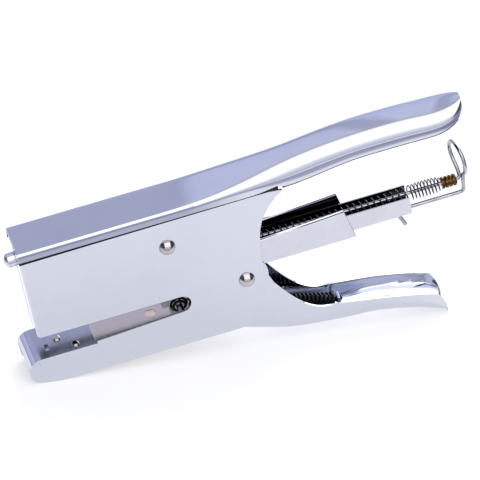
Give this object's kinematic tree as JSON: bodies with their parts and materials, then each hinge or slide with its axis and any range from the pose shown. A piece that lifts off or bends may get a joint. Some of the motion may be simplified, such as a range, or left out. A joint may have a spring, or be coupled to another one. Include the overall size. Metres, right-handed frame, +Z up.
{
  "type": "plier stapler",
  "caption": "Plier stapler with long pressed handles, a deep throat, an anvil on the lower jaw and a spring-fed staple magazine drawn out by a wire ring.",
  "frame": {"origin": "on the ground, under the middle of the tool as it stands on its jaw's toe and the lower handle's end", "axes": "+X runs from the nose to the handle ends, +Y across the width, +Z up"},
  "size_m": [0.2103, 0.0252, 0.119],
  "materials": {
    "chrome": "polished chrome plate over pressed steel",
    "nickel": "bright nickel plate over thin sheet",
    "jaw": "nickel plate, dulled by use",
    "steel": "bright drawn steel",
    "zinc": "zinc plate",
    "brass": "turned brass",
    "black": "oiled black oxide spring wire"
  },
  "bodies": {
    "frame": {"side_plate_left": "chrome", "side_plate_right": "chrome", "upper_handle": "chrome", "nose_block": "zinc", "nose_stud": "chrome", "cross_rivet": "chrome", "cross_spacer": "zinc", "pivot_rivet": "chrome", "pivot_spacer": "zinc", "jaw_channel": "jaw", "anvil": "jaw", "anvil_rivets": "zinc", "spring_pin": "zinc", "return_spring": "black"},
    "lever": {"lever_arm_left": "chrome", "lever_arm_right": "chrome", "lower_handle": "chrome", "spring_tab": "chrome"},
    "driver": {"driver_blade": "steel", "driver_ears": "steel"},
    "magazine": {"magazine_housing": "nickel", "staple_gate": "nickel", "lift_studs": "zinc"},
    "feeder": {"feeder_channel": "nickel", "pull_wire": "steel", "brass_sleeve": "brass", "pusher_spring": "steel"},
    "pusher": {"staple_pusher": "steel"}
  },
  "joints": [
    {"name": "lever_hinge", "type": "hinge", "parent": "frame", "child": "lever", "pos_m": [0.00358, 0, 0.04086], "axis": [0, -1, 0], "range_deg": [0, 13], "stiffness_Nm_per_rad": 5, "springref_deg": -6.88, "deforming": ["return_spring"]},
    {"name": "driver_slide", "type": "slide", "parent": "frame", "child": "driver", "axis": [0.163, 0, -0.9866], "range_m": [0, 0.02016]},
    {"name": "magazine_hinge", "type": "hinge", "parent": "frame", "child": "magazine", "pos_m": [0.00358, 0, 0.04086], "axis": [0, -1, 0], "range_deg": [0, 8.5]},
    {"name": "feeder_slide", "type": "slide", "parent": "magazine", "child": "feeder", "axis": [0.9866, 0, 0.163], "range_m": [0, 0.045]},
    {"name": "pusher_slide", "type": "slide", "parent": "feeder", "child": "pusher", "axis": [0.9866, 0, 0.163], "range_m": [0, 0.05], "stiffness_N_per_m": 60, "springref_m": -0.05, "deforming": ["pusher_spring"]}
  ],
  "couplings": [
    {"joint": "driver_slide", "follows": "lever_hinge", "m_per_rad": 0.087963},
    {"joint": "magazine_hinge", "follows": "lever_hinge", "ratio": 0.63846}
  ]
}
